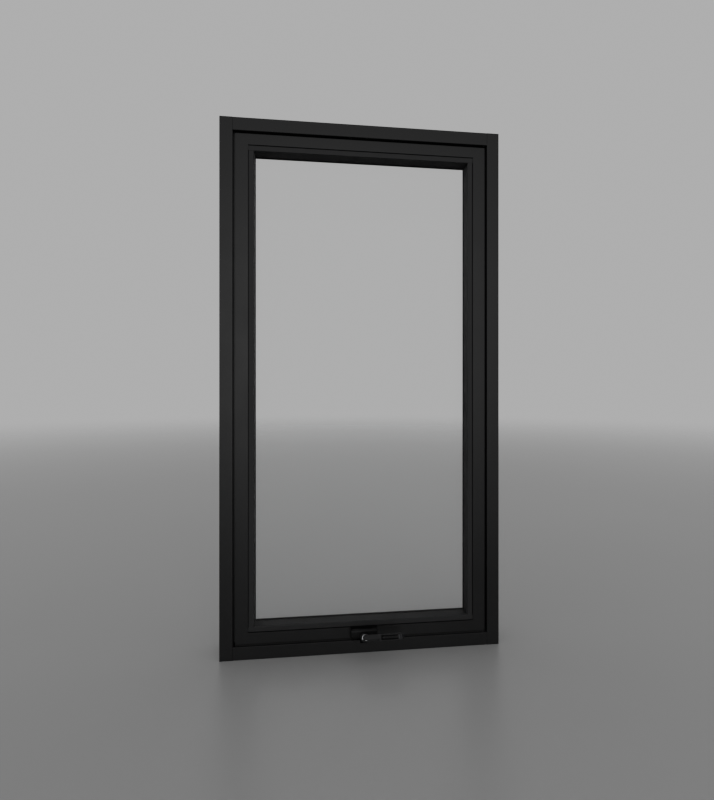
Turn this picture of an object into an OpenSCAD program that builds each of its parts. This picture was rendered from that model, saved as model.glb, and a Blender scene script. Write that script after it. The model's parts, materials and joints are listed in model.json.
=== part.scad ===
// Outward-opening casement window with a crank operator, side hung at the left seen from the room.
// X runs across, the room is towards -Y, the outside towards +Y, and +Z is up.
// The origin is the centre of the sill's underside. The window is drawn closed.

/* [Overall] */
// Width of the frame
frame_w = 640; // [560:1:800]
// Height of the frame
frame_h = 1200; // [600:1:1600]
// Depth of the frame from the room to the outside
frame_d = 76; // [74:1:110]

/* [Frame profile] */
// Width of the lip that faces the room
lip_w = 29; // [27:0.5:34]
// Thickness of that lip
lip_t = 8; // [6:0.5:8]
// Width of the hollow wall behind the lip
wall_w = 14; // [12:0.5:14]
// Thickness of the aluminium skin
skin_t = 2; // [1.5:0.1:2.5]
// Small break on every visible corner of the profiles
arris = 0.7; // [0.3:0.1:1]

/* [Sash profile] */
// Gap between the lip and the sash
sash_gap = 4.8; // [4:0.1:7]
// How far the sash's face lies behind the lip's face
sash_recess = 3.6; // [2:0.1:5]
// Width of a stile's flat face
stile_w = 27.8; // [24:0.1:40]
// Width of a rail's flat face
rail_w = 23.8; // [22:0.1:40]
// Depth of the sash
sash_d = 65.4; // [62:0.2:69]
// Thickness of the exterior leg that holds the glass
leg_t = 16; // [15:0.5:17]
// How far the leg covers the glass
leg_cover = 4.5; // [3.5:0.1:6]
// How far the leg's face falls back from the glass to the sash's exterior face
leg_splay = 8.4; // [7:0.1:9]
// Thickness of the wall between the sash's chambers and its exterior face
back_wall = 7; // [6:0.5:8]
// Thickness of the flange that closes against the seal
flange_t = 6; // [4:0.5:8]
// Overlap of the flange behind the lip
flange_lap = 8.4; // [6:0.1:9]
// Distance of the sash's rear part from the frame's outer edge
rear_inset = 28; // [27:0.5:30]
// The same distance at the bottom, where the operator lies
rear_inset_bottom = 32; // [31.5:0.5:34]

/* [Glazing] */
// Width of the glazing bead
bead_w = 12.6; // [10:0.1:16]
// How far the bead lies behind the sash's face
bead_recess = 1; // [0.5:0.1:2]
// Width of the shadow groove beside the bead
bead_groove = 0.9; // [0.5:0.1:1.5]
// Thickness of one pane
pane_t = 4; // [3:0.5:5]
// Width of the space between the panes
cavity_t = 6; // [5:0.5:8]
// Gap from the pane's edge to the sash
pane_gap = 2; // [1.5:0.1:2.5]
// Depth of the wedge gasket in front of the glass
wedge_t = 6.4; // [4:0.1:8]
// How far the wedge gasket stands past the bead
wedge_proud = 0.5; // [0:0.1:2]
// Thickness of the tape behind the glass
tape_t = 1; // [0.5:0.1:2]
// Length of a setting block
block_l = 80; // [50:1:100]

/* [Crank] */
// Distance of the crank's hub in front of the frame
crank_reach = 42; // [40:0.5:48]
// Height of the crank's hub above the underside of the sill
crank_z = 56; // [54:0.5:58]
// Length of the crank arm from the shaft to the folding pin
crank_l = 78; // [70:1:95]
// Width of the crank arm
crank_w = 13; // [12:0.5:14]
// Thickness of the crank arm along the shaft
crank_t = 12; // [11:0.5:13]
// Radius of the folding knob
knob_r = 4.2; // [3.8:0.1:4.3]
// Length of the folding knob
knob_l = 36; // [30:1:38]
// Width of the cover in front of the sash
cover_w = 60; // [50:1:80]
// Height of the cover
cover_h = 21; // [20:0.5:24]
// How far the cover stands in front of the frame
cover_proud = 11; // [9:0.5:13]
// Height of the cover's lower edge above the underside of the sill
cover_z = 36.5; // [36:0.5:38]

/* [Operator] */
// Depth of the worm's middle behind the frame's face
worm_v = 34; // [33:0.5:36]
// Height of the sector gear's middle
gear_z = 19; // [18.8:0.1:19.4]
// Number of teeth that a whole gear would have
gear_teeth = 24; // [22:1:26]
// Radius of the sector gear at the teeth's tips
gear_tip_r = 14.2; // [14:0.1:14.4]
// Height of a tooth
tooth_h = 2; // [1.6:0.1:2.2]
// Thickness of the sector gear
gear_t = 2.5; // [2:0.1:2.6]
// Mean radius of the worm's thread
worm_r = 4.3; // [4.2:0.1:4.4]
// Height of the thread above and below the mean radius
thread_h = 1; // [0.8:0.1:1]
// How deep the teeth reach into the worm
mesh_depth = 0.9; // [0.6:0.1:0.9]
// Radius of the crank shaft in its bushes
shaft_r = 4; // [3.6:0.1:4.2]
// Running clearance of every pin and shaft
run_fit = 0.05; // [0.03:0.01:0.1]
// Width of the operator arm
arm_w = 12; // [11:0.5:12.5]
// Thickness of the operator arm
arm_t = 3; // [2.5:0.5:3]
// Height of the arm's underside above the underside of the sill
arm_z = 27; // [27:0.5:28]
// Radius of the roller
roller_r = 5; // [4:0.5:5.5]

/* [Pivot hinges] */
// Distance of the hinge pin from the frame's outer edge
hinge_u = 22; // [21.5:0.5:22.5]
// Distance of the hinge pin from the sash's outer face
hinge_back = 8; // [7:0.5:9]
// Radius of the hinge pin
hinge_r = 4; // [3:0.5:4.5]
// Angle to which the sash opens
open_angle = 75; // [45:1:75]

/* [Fixing holes] */
// Radius of the installation holes in the jambs
fix_r = 3; // [2.5:0.1:4]
// Distance of those holes from the head and the sill
fix_inset = 150; // [100:1:250]
// Depth of those holes behind the frame's face
fix_v = 50; // [30:1:60]

/* [Hidden] */
$fn = 48;

black_coat = "#242527";
black_plastic = "#161617";
black_rubber = "#0c0c0d";
zinc = "#8b8d90";
steel = "#a9abae";
bronze = "#9a7440";
pane = "#cfe3e6";
bare_aluminium = "#b9bcc0";

half_w = frame_w / 2;
face_y = -frame_d / 2;
joint_fit = 0.3;
seat = 0.02;
cut = 1;
rivet_r = 1.2;

// The sash's outline, measured from the frame's outer edge and from the frame's face.
face_u = lip_w + sash_gap;
flange_u = lip_w - flange_lap;
flange_v = lip_t + 3;
sash_back = sash_recess + sash_d;
glass_v = sash_back - leg_t - tape_t - 2 * pane_t - cavity_t;
stile_u = face_u + stile_w;
rail_u = face_u + rail_w;
leg_v = sash_back - leg_t;
sight_x = stile_u + bead_w;
sight_z = rail_u + bead_w;

// The hinge pin, the arm's pivot and the roller form a triangle with two equal sides, so that the
// arm turns twice as far as the sash and the roller stays on the line through the hinge pin.
hinge_x = -half_w + hinge_u;
hinge_v = sash_back - hinge_back;
gear_x = -(gear_tip_r + worm_r + thread_h - mesh_depth);
arm_reach_x = gear_x - hinge_x;
arm_reach_v = hinge_v - worm_v;
arm_l = sqrt(arm_reach_x * arm_reach_x + arm_reach_v * arm_reach_v);
arm_rest = asin(arm_reach_v / arm_l);
roller_x = hinge_x + 2 * arm_l * cos(arm_rest);
roller_far = 2 * arm_l * cos(arm_rest + open_angle);

// The shaft runs from the worm up to the crank's hub.
slope = atan((crank_z - gear_z) / (worm_v + crank_reach));
hub_s = (worm_v + crank_reach) / cos(slope);
gear_pitch_r = gear_tip_r - tooth_h / 2;
worm_pitch = 2 * PI * gear_pitch_r / gear_teeth * cos(slope);
worm_l = 11;
worm_bore_r = 2.3;
tail_r = worm_bore_r - run_fit;
tail_s = -12.4;
nose_r = 7.5;
nose_start = 11.8;
nut_r = 9.2;
nut_t = 2.4;
nut_s = (worm_v + cover_proud + joint_fit + nut_r * sin(slope)) / cos(slope);
nose_end = nut_s + nut_t + 0.6;
bush_r = 5.5;
bush_l = 9;
shaft_low = nose_start + 0.4;
ring_t = 1;
hub_r = crank_w / 2;
shaft_end = hub_s + crank_t / 2 - 2;

gear_low = gear_z - gear_t / 2;
gear_high = gear_z + gear_t / 2;
arm_high = arm_z + arm_t;
arm_pin_r = 3;
arm_hub_r = 6.4;
base_t = 2.5;
base_high = wall_w + base_t;
roller_low = arm_high + joint_fit;
roller_h = 4.6;
track_t = 1.5;
track_low = rear_inset_bottom;
track_h = roller_low + roller_h + joint_fit + track_t - track_low;
track_half = roller_r + 0.3 + track_t;
track_end_room = 12;
track_start = hinge_x + roller_far - roller_r - track_end_room;
track_end = roller_x + roller_r + track_end_room;

notch_half = 15;
notch_depth_v = 33;
notch_high = cover_z + cover_h - 10;
lip_notch_low = 22;
nose_room = nose_r + 2 * joint_fit;

screw_head_r = 3;
screw_head_h = 1.6;
screw_r = 1.6;

// ---- shared shapes ----

// A box given by its ends across, in depth behind the frame's face and in height.
module block(x0, x1, v0, v1, z0, z1) {
    translate([x0, face_y + v0, z0])
        cube([x1 - x0, v1 - v0, z1 - z0]);
}

// A ring in the plane of the window, given by its outer and inner insets from the frame's edge.
module ring(x_out, z_out, x_in, z_in, v0, v1) {
    difference() {
        block(-half_w + x_out, half_w - x_out, v0, v1, z_out, frame_h - z_out);
        block(-half_w + x_in, half_w - x_in, v0 - cut, v1 + cut, z_in, frame_h - z_in);
    }
}

// Places children at the worm, with +Z along the shaft towards the room.
module on_shaft(s = 0) {
    translate([0, face_y + worm_v, gear_z])
        rotate([90 - slope, 0, 0])
            translate([0, 0, s])
                children();
}

// A pan-head screw at the origin, its head above and its shank below.
module screw(shank_l, shank_r = screw_r, head_r = screw_head_r, head_h = screw_head_h) {
    difference() {
        cylinder(h = head_h, r = head_r);
        translate([0, 0, head_h / 2])
            cylinder(h = head_h, r = head_r * 0.42, $fn = 6);
    }
    translate([0, 0, -shank_l])
        cylinder(h = shank_l, r = shank_r - seat);
}

// A tube along Z.
module tube(outer_r, inner_r, z0, z1) {
    difference() {
        translate([0, 0, z0])
            cylinder(h = z1 - z0, r = outer_r);
        translate([0, 0, z0 - cut])
            cylinder(h = z1 - z0 + 2 * cut, r = inner_r);
    }
}

// ---- frame ----

// Section of the frame: across from the outer edge, then depth behind the face.
module frame_section() {
    difference() {
        polygon([[arris, 0], [lip_w - arris, 0], [lip_w, arris], [lip_w, lip_t], [wall_w, lip_t],
            [wall_w, frame_d - arris], [wall_w - arris, frame_d], [arris, frame_d],
            [0, frame_d - arris], [0, arris]]);
        translate([skin_t, lip_t])
            square([wall_w - 2 * skin_t, frame_d - lip_t - skin_t]);
        translate([wall_w + skin_t, skin_t])
            square([lip_w - wall_w - 2 * skin_t, lip_t - 2 * skin_t]);
    }
}

// A jamb stands the full height at the left.
module jamb() {
    difference() {
        translate([-half_w, face_y, 0])
            linear_extrude(height = frame_h)
                frame_section();
        for (z = [fix_inset, frame_h - fix_inset])
            translate([-half_w - cut, face_y + fix_v, z])
                rotate([0, 90, 0])
                    cylinder(h = wall_w + 2 * cut, r = fix_r);
        for (z = [wall_w / 2, frame_h - wall_w / 2])
            for (v = corner_screw_v)
                translate([-half_w - cut, face_y + v, z])
                    rotate([0, 90, 0])
                        cylinder(h = lip_w + cut, r = screw_r);
    }
}

corner_screw_v = [lip_t + 10, frame_d - 14];
corner_screw_l = 32;
port_wall = 2;

// The head or the sill fits between the jambs. Its section is turned so that it lies along X.
module cross_member() {
    difference() {
        union() {
            translate([-half_w + wall_w, 0, 0])
                cross_section_bar(frame_w - 2 * wall_w);
            for (side = [-1, 1])
                for (v = corner_screw_v)
                    screw_port(side, v);
        }
        for (side = [-1, 1]) {
            for (v = corner_screw_v)
                translate([side * (half_w - wall_w + cut), face_y + v, wall_w / 2])
                    rotate([0, -90 * side, 0])
                        cylinder(h = corner_screw_l + 2 * cut, r = screw_r);
            // The jamb's lip runs the full height, so the lip here stops at it.
            block(side < 0 ? -half_w - cut : half_w - lip_w, side < 0 ? -half_w + lip_w : half_w + cut,
                -cut, lip_t + 0.001, -cut, lip_w + cut);
        }
    }
}

// A solid stretch of the chamber that takes a corner screw.
module screw_port(side, v) {
    port_half = screw_r + port_wall;
    x_end = half_w - wall_w;
    x_start = x_end - corner_screw_l;
    block(side < 0 ? -x_end : x_start, side < 0 ? -x_start : x_end,
        v - port_half, v + port_half, skin_t / 2, wall_w - skin_t / 2);
}

module cross_section_bar(length) {
    translate([0, face_y, 0])
        rotate([90, 0, 90])
            linear_extrude(height = length)
                mirror([1, -1, 0])
                    frame_section();
}

// Moves a shape drawn at the sill up to the head.
module at_head() {
    translate([0, 0, frame_h])
        mirror([0, 0, 1])
            children();
}

weep_x = [-half_w * 0.55, half_w * 0.55];
weep_w = 34;
weep_h = 8;
weep_low = 3;
weep_end = 3;
weep_hood = 2.4;
weep_rim = 2;
weep_fit = 0.2;

// A block at a drainage slot, given by how far its ends lie inside the cover's ends.
module weep_block(x, inset, v0, v1, z0, z1) {
    block(x - weep_w / 2 + inset, x + weep_w / 2 - inset, v0, v1, z0, z1);
}

module frame_sill() {
    color(black_coat)
        difference() {
            cross_member();
            // Notch for the operator's nose
            block(-nose_room, nose_room, -cut, lip_t + cut, lip_notch_low, lip_w + cut);
            // Well under the worm
            block(-worm_r - thread_h - 2, worm_r + thread_h + 2, worm_v - 8, worm_v + 13,
                wall_w - skin_t - cut, wall_w + cut);
            for (p = operator_screw_at)
                translate([p[0], face_y + p[1], wall_w - 8])
                    cylinder(h = 8 + cut, r = screw_r);
            translate([gear_x, face_y + worm_v, wall_w - skin_t - cut])
                cylinder(h = skin_t + 2 * cut, r = arm_pin_r + 1);
            for (x = weep_x)
                weep_block(x, weep_end, frame_d - skin_t - cut, frame_d + cut, weep_low, weep_h);
            pivot_screw_holes();
        }
}

module frame_head() {
    color(black_coat)
        at_head()
            difference() {
                cross_member();
                pivot_screw_holes();
            }
}

module frame_jamb_hinge() {
    color(black_coat)
        jamb();
}

module frame_jamb_lock() {
    color(black_coat)
        mirror([1, 0, 0])
            jamb();
}

// The screws join the jambs to the head and the sill.
module frame_corner_screws() {
    color(steel)
        for (z = [wall_w / 2, frame_h - wall_w / 2])
            for (side = [-1, 1])
                for (v = corner_screw_v)
                    translate([side * (half_w - skin_t), face_y + v, z])
                        rotate([0, 90 * side, 0])
                            translate([0, 0, -0.2])
                                cylinder_screw(corner_screw_l + wall_w - skin_t - 3);
}

// A headless screw that starts at the origin and runs down.
module cylinder_screw(length) {
    translate([0, 0, -length])
        cylinder(h = length, r = screw_r - seat);
}

seal_u0 = lip_w - 7;
seal_u1 = lip_w - 2;
seal_v1 = flange_v - joint_fit;
sill_seal_w = 4;

// The seal sits on the back of the lip and the sash's flange closes against it on three sides.
module frame_seal() {
    z_head = frame_h - seal_u1;
    color(black_rubber) {
        block(-half_w + seal_u0, half_w - seal_u0, lip_t, seal_v1, z_head, frame_h - seal_u0);
        for (side = [-1, 1])
            translate([side * (half_w - (seal_u0 + seal_u1) / 2), 0, 0])
                block((seal_u0 - seal_u1) / 2, (seal_u1 - seal_u0) / 2, lip_t, seal_v1,
                    face_u, z_head - joint_fit);
    }
}

// The bottom of the sash closes on a bulb that stands on the sill's lip, left and right of the operator.
module sill_seal() {
    bulb_h = sash_gap - joint_fit;
    color(black_rubber)
        for (side = [-1, 1])
            translate([side * (half_w - face_u + notch_half + joint_fit) / 2, 0, 0])
                block(-sill_seal_l / 2, sill_seal_l / 2, lip_t - sill_seal_w, lip_t, lip_w, lip_w + bulb_h);
}

sill_seal_l = half_w - face_u - notch_half;

module weep_covers() {
    color(black_plastic)
        for (x = weep_x)
            difference() {
                union() {
                    weep_block(x, 0, frame_d, frame_d + weep_hood, weep_low - 1, weep_h + weep_rim + 0.5);
                    weep_block(x, weep_end + weep_fit, frame_d - skin_t, frame_d, weep_low + weep_fit,
                        weep_h - weep_fit);
                }
                weep_block(x, weep_end + weep_rim, frame_d - skin_t - cut, frame_d + weep_hood / 2,
                    weep_low + weep_fit + 1, weep_h - weep_fit - 1);
                weep_block(x, weep_end + weep_rim, frame_d - cut, frame_d + weep_hood + cut,
                    weep_low + 2 * weep_fit, weep_low + weep_rim);
            }
}

// ---- sash ----

// All that the sash may fill, before the glass opening is cut.
module sash_envelope() {
    block(-half_w + face_u, half_w - face_u, sash_recess, flange_v + flange_t, face_u, frame_h - face_u);
    block(-half_w + flange_u, half_w - flange_u, flange_v, flange_v + flange_t, face_u, frame_h - flange_u);
    block(-half_w + rear_inset, half_w - rear_inset, flange_v + flange_t, sash_back,
        rear_inset_bottom, frame_h - rear_inset);
}

// Section of the opening through the exterior leg, for a sash whose flat faces end at face_edge from
// the frame's outer edge and whose opposite edges are size apart. It widens towards the outside.
module splay_section(face_edge, size) {
    fall = leg_splay / leg_t * cut;
    near = face_edge + leg_cover + fall;
    far = face_edge + leg_cover - leg_splay - fall;
    polygon([[near, leg_v - cut], [size - near, leg_v - cut], [size - far, sash_back + cut],
        [far, sash_back + cut]]);
}

// The opening through the exterior leg.
module splayed_opening() {
    intersection() {
        translate([-half_w, face_y, 0])
            linear_extrude(height = frame_h)
                splay_section(stile_u, frame_w);
        translate([-half_w, face_y, 0])
            rotate([90, 0, 90])
                linear_extrude(height = frame_w)
                    mirror([1, -1, 0])
                        splay_section(rail_u, frame_h);
    }
}

// The sash as one frame, with the rebate for the glass and the opening.
module sash_body() {
    difference() {
        sash_envelope();
        block(-half_w + stile_u, half_w - stile_u, sash_recess - cut, leg_v,
            rail_u, frame_h - rail_u);
        splayed_opening();
        // Notch round the operator's nose
        block(-notch_half, notch_half, 0, notch_depth_v, 0, notch_high);
        // Groove for the operator's track
        block(track_start, track_end, hinge_v - track_half, hinge_v + track_half,
            rear_inset_bottom - cut, track_low + track_h);
    }
}

module rail_zone() {
    block(-half_w + stile_u, half_w - stile_u, 0, frame_d, 0, sight_z);
    block(-half_w + stile_u, half_w - stile_u, 0, frame_d, frame_h - sight_z, frame_h);
}

sash_screw_v = [32, 44];
sash_screw_l = 24;
screw_end_gap = 4;
chamber_v = flange_v + flange_t + skin_t;
chamber_back = sash_back - back_wall;

// Height of the screws that join a stile to a rail, from the frame's outer edge.
function sash_screw_z(inset) = (inset + track_h + rail_u) / 2;

module sash_screw_at(inset) {
    for (v = sash_screw_v)
        translate([0, face_y + v, sash_screw_z(inset)])
            children();
}

// The stile at the left. Its chamber is open at both ends.
module sash_stile() {
    difference() {
        sash_body();
        rail_zone();
        block(-half_w + stile_u, half_w + cut, 0, frame_d, 0, sight_z);
        block(-half_w + sight_x, half_w + cut, 0, frame_d, 0, frame_h);
        block(-half_w + face_u + skin_t, -half_w + stile_u - skin_t, chamber_v, chamber_back,
            0, frame_h);
        sash_screw_at(rear_inset_bottom)
            stile_screw_hole();
        at_head()
            sash_screw_at(rear_inset)
                stile_screw_hole();
    }
}

module stile_screw_hole() {
    translate([-half_w, 0, 0])
        rotate([0, 90, 0])
            cylinder(h = stile_u + cut, r = screw_r);
}

// A rail at the bottom. The chamber lies above the track's groove and takes the corner screws.
module sash_rail(inset) {
    chamber_low = inset + track_h + skin_t;
    difference() {
        intersection() {
            if (inset == rear_inset_bottom)
                sash_body();
            else
                at_head()
                    sash_body();
            block(-half_w + stile_u, half_w - stile_u, 0, frame_d, 0, sight_z);
        }
        difference() {
            block(-half_w, half_w, chamber_v, chamber_back, chamber_low, rail_u - skin_t);
            for (side = [-1, 1])
                for (v = sash_screw_v)
                    translate([side * (half_w - stile_u), 0, 0])
                        block(-sash_screw_l, sash_screw_l, v - screw_r - port_wall, v + screw_r + port_wall,
                            0, rail_u);
        }
        for (side = [-1, 1])
            sash_screw_at(inset)
                translate([side * (half_w - stile_u + cut), 0, 0])
                    rotate([0, -90 * side, 0])
                        cylinder(h = sash_screw_l + cut, r = screw_r);
    }
}

module track_screw_holes() {
    for (x = track_screw_x)
        translate([x, face_y + hinge_v, track_low])
            cylinder(h = track_h + track_screw_l, r = screw_r);
}

module sash_rail_bottom() {
    color(black_coat)
        difference() {
            sash_rail(rear_inset_bottom);
            track_screw_holes();
            sash_pivot_holes(rear_inset_bottom);
        }
}

module sash_rail_top() {
    color(black_coat)
        at_head()
            difference() {
                sash_rail(rear_inset);
                sash_pivot_holes(rear_inset);
            }
}

module sash_stile_hinge() {
    color(black_coat)
        difference() {
            sash_stile();
            sash_pivot_holes(rear_inset_bottom);
            at_head()
                sash_pivot_holes(rear_inset);
        }
}

module sash_stile_lock() {
    color(black_coat)
        difference() {
            mirror([1, 0, 0])
                sash_stile();
            block(track_start, track_end, hinge_v - track_half, hinge_v + track_half,
                rear_inset_bottom - cut, track_low + track_h);
            track_screw_holes();
        }
}

module sash_corner_screws() {
    color(steel) {
        sash_corner_set(rear_inset_bottom);
        at_head()
            sash_corner_set(rear_inset);
    }
}

module sash_corner_set(inset) {
    for (side = [-1, 1])
        sash_screw_at(inset)
            translate([side * (half_w - rear_inset - joint_fit), 0, 0])
                rotate([0, 90 * side, 0])
                    cylinder_screw(stile_u - rear_inset + sash_screw_l - screw_end_gap);
}

// ---- glazing ----

bead_v0 = sash_recess + bead_recess;
bead_v1 = glass_v - wedge_t;
bead_wall = 1.4;
bead_foot = 3;

// Section of a bead: across from the sash, then depth from the bead's front.
module bead_section() {
    bead_depth = bead_v1 - bead_v0;
    difference() {
        polygon([[bead_groove + arris, 0], [bead_w - arris, 0], [bead_w, arris], [bead_w, bead_depth],
            [0, bead_depth], [0, bead_foot], [bead_groove, bead_foot], [bead_groove, arris]]);
        translate([bead_groove + bead_wall, bead_wall])
            square([bead_w - bead_groove - 2 * bead_wall, bead_depth - 2 * bead_wall]);
    }
}

module flat_bead() {
    color(black_coat)
        translate([-half_w + stile_u, face_y + bead_v0, rail_u])
            rotate([90, 0, 90])
                linear_extrude(height = frame_w - 2 * stile_u)
                    mirror([1, -1, 0])
                        bead_section();
}

module upright_bead() {
    color(black_coat)
        translate([-half_w + stile_u, face_y + bead_v0, sight_z])
            linear_extrude(height = frame_h - 2 * sight_z)
                bead_section();
}

module bead_bottom() {
    flat_bead();
}

module bead_top() {
    at_head()
        flat_bead();
}

module bead_hinge_side() {
    upright_bead();
}

module bead_lock_side() {
    mirror([1, 0, 0])
        upright_bead();
}

pane_x = stile_u + pane_gap;
pane_z = rail_u + pane_gap;
edge_seal_w = 2;
spacer_w = 3.2;
cavity_v = glass_v + pane_t;
outer_pane_v = cavity_v + cavity_t;
tape_v = outer_pane_v + pane_t;

module glass_pane(v) {
    color(pane, 0.35)
        block(-half_w + pane_x, half_w - pane_x, v, v + pane_t, pane_z, frame_h - pane_z);
}

module glass_inner() {
    glass_pane(glass_v);
}

module glass_outer() {
    glass_pane(outer_pane_v);
}

module edge_seal() {
    color(black_rubber)
        ring(pane_x, pane_z, pane_x + edge_seal_w, pane_z + edge_seal_w, cavity_v, outer_pane_v);
}

module spacer_bar() {
    spacer_x = pane_x + edge_seal_w;
    spacer_z = pane_z + edge_seal_w;
    color(black_plastic)
        ring(spacer_x, spacer_z, spacer_x + spacer_w, spacer_z + spacer_w, cavity_v, outer_pane_v);
}

module wedge_gasket() {
    color(black_rubber)
        ring(stile_u + 1, rail_u + 1, sight_x + wedge_proud, sight_z + wedge_proud, bead_v1, glass_v);
}

module glazing_tape() {
    color(black_rubber)
        ring(stile_u + 1, rail_u + 1, stile_u + leg_cover, rail_u + leg_cover, tape_v, tape_v + tape_t);
}

block_inset = 90;

// Blocks carry the glass at the bottom and hold it at the sides.
module setting_blocks() {
    color(black_rubber) {
        for (side = [-1, 1])
            translate([side * (half_w - stile_u - block_inset), 0, 0])
                block(-block_l / 2, block_l / 2, glass_v, tape_v, rail_u, pane_z);
        block(-half_w + stile_u, -half_w + pane_x, glass_v, tape_v, sight_z + block_inset,
            sight_z + block_inset + block_l);
        block(half_w - pane_x, half_w - stile_u, glass_v, tape_v, frame_h - sight_z - block_inset - block_l,
            frame_h - sight_z - block_inset);
    }
}

// ---- pivot hinges ----

plate_t = 2;
plate_w = 17;
plate_l = 52;
sash_plate_t = 3;
sash_plate_l = 66;
boss_r = 7.2;
bush_outer_r = hinge_r + 1.6;
pivot_screw_x = [24, 42];
pivot_gap = 3;
bush_collar = 0.8;
sash_pivot_screw_x = [22, 52];
sash_plate_half = 6;

module pivot_screw_holes() {
    for (x = pivot_screw_x)
        translate([hinge_x + x, face_y + hinge_v, 0])
            translate([0, 0, wall_w - pivot_screw_l])
                cylinder(h = pivot_screw_l + cut, r = screw_r);
}

pivot_screw_l = 8;

// Frame half of a pivot hinge, drawn at the sill, for a sash whose rear part starts at inset.
module frame_pivot(inset) {
    boss_high = inset - sash_plate_t - pivot_gap;
    color(zinc)
        difference() {
            union() {
                block(hinge_x - boss_r, hinge_x + plate_l, hinge_v - plate_w / 2, hinge_v + boss_r,
                    wall_w, wall_w + plate_t);
                translate([hinge_x, face_y + hinge_v, wall_w])
                    cylinder(h = boss_high - wall_w, r = boss_r);
            }
            translate([hinge_x, face_y + hinge_v, wall_w + plate_t / 2])
                cylinder(h = boss_high, r = bush_outer_r);
            for (x = pivot_screw_x)
                translate([hinge_x + x, face_y + hinge_v, 0])
                    cylinder(h = inset, r = screw_r);
        }
}

module frame_pivot_bottom() {
    frame_pivot(rear_inset_bottom);
}

module frame_pivot_top() {
    at_head()
        frame_pivot(rear_inset);
}

module pivot_bush(inset) {
    translate([hinge_x, face_y + hinge_v, 0])
        tube(bush_outer_r - seat, hinge_r + run_fit, wall_w + plate_t / 2,
            inset - sash_plate_t - pivot_gap + bush_collar);
}

module pivot_bushes() {
    color(bronze) {
        pivot_bush(rear_inset_bottom);
        at_head()
            pivot_bush(rear_inset);
    }
}

module pivot_screw_set() {
    for (x = pivot_screw_x)
        translate([hinge_x + x, face_y + hinge_v, wall_w + plate_t])
            screw(pivot_screw_l + plate_t - 1);
}

module frame_pivot_screws() {
    color(steel) {
        pivot_screw_set();
        at_head()
            pivot_screw_set();
    }
}

sash_pivot_screw_l = 7;

module sash_pivot_holes(inset) {
    for (x = sash_pivot_screw_x)
        translate([hinge_x + x, face_y + hinge_v, inset - cut])
            cylinder(h = sash_pivot_screw_l + cut, r = screw_r);
}

// Sash half of a pivot hinge: a plate under the sash that reaches out to the pin.
module sash_pivot(inset) {
    plate_low = inset - sash_plate_t;
    color(zinc)
        difference() {
            union() {
                translate([hinge_x, face_y + hinge_v, plate_low])
                    cylinder(h = sash_plate_t, r = sash_plate_half);
                block(hinge_x, hinge_x + sash_plate_l, hinge_v - sash_plate_half, hinge_v + sash_plate_half,
                    plate_low, inset);
            }
            translate([hinge_x, face_y + hinge_v, plate_low - cut])
                cylinder(h = sash_plate_t + 2 * cut, r = hinge_r + seat);
            for (x = sash_pivot_screw_x)
                translate([hinge_x + x, face_y + hinge_v, plate_low - cut])
                    cylinder(h = sash_plate_t + 2 * cut, r = screw_r);
        }
}

module sash_pivot_bottom() {
    sash_pivot(rear_inset_bottom);
}

module sash_pivot_top() {
    at_head()
        sash_pivot(rear_inset);
}

module hinge_pin(inset) {
    color(steel)
        translate([hinge_x, face_y + hinge_v, wall_w + plate_t + joint_fit])
            cylinder(h = inset - wall_w - plate_t - joint_fit, r = hinge_r);
}

module hinge_pin_bottom() {
    hinge_pin(rear_inset_bottom);
}

module hinge_pin_top() {
    at_head()
        hinge_pin(rear_inset);
}

module sash_pivot_screw_set(inset) {
    for (x = sash_pivot_screw_x)
        translate([hinge_x + x, face_y + hinge_v, inset - sash_plate_t])
            mirror([0, 0, 1])
                screw(sash_pivot_screw_l + sash_plate_t - 1, head_h = 1.4);
}

module sash_pivot_screws() {
    color(steel) {
        sash_pivot_screw_set(rear_inset_bottom);
        at_head()
            sash_pivot_screw_set(rear_inset);
    }
}

// ---- operator ----

track_screw_l = 5;
track_screw_x = [track_start + 4, track_end - 4];

// A channel in the sash's underside that the roller runs along.
module operator_track() {
    color(zinc)
        difference() {
            block(track_start, track_end, hinge_v - track_half, hinge_v + track_half, track_low,
                track_low + track_h);
            block(track_start - cut, track_end + cut, hinge_v - track_half + track_t,
                hinge_v + track_half - track_t, track_low - cut, track_low + track_h - track_t);
            for (x = track_screw_x)
                translate([x, face_y + hinge_v, track_low])
                    cylinder(h = track_h + cut, r = screw_r);
        }
}

module track_screws() {
    color(steel)
        for (x = track_screw_x)
            translate([x, face_y + hinge_v, track_low + track_h - track_t])
                mirror([0, 0, 1])
                    screw(track_screw_l + track_t - 1);
}

operator_screw_at = [[gear_x - 19, worm_v - 8], [gear_x - 19, worm_v + 8], [8.5, worm_v + 10.5],
    [12.5, worm_v - 12]];
base_x0 = gear_x - 24;
base_x1 = 17;
base_v0 = 17.6;
base_v1 = worm_v + 15;
tail_bearing_half = 4.5;
tail_low = 12.3;
post_x0 = -5;
post_x1 = 8.4;
post_v1 = 24.6;

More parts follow.
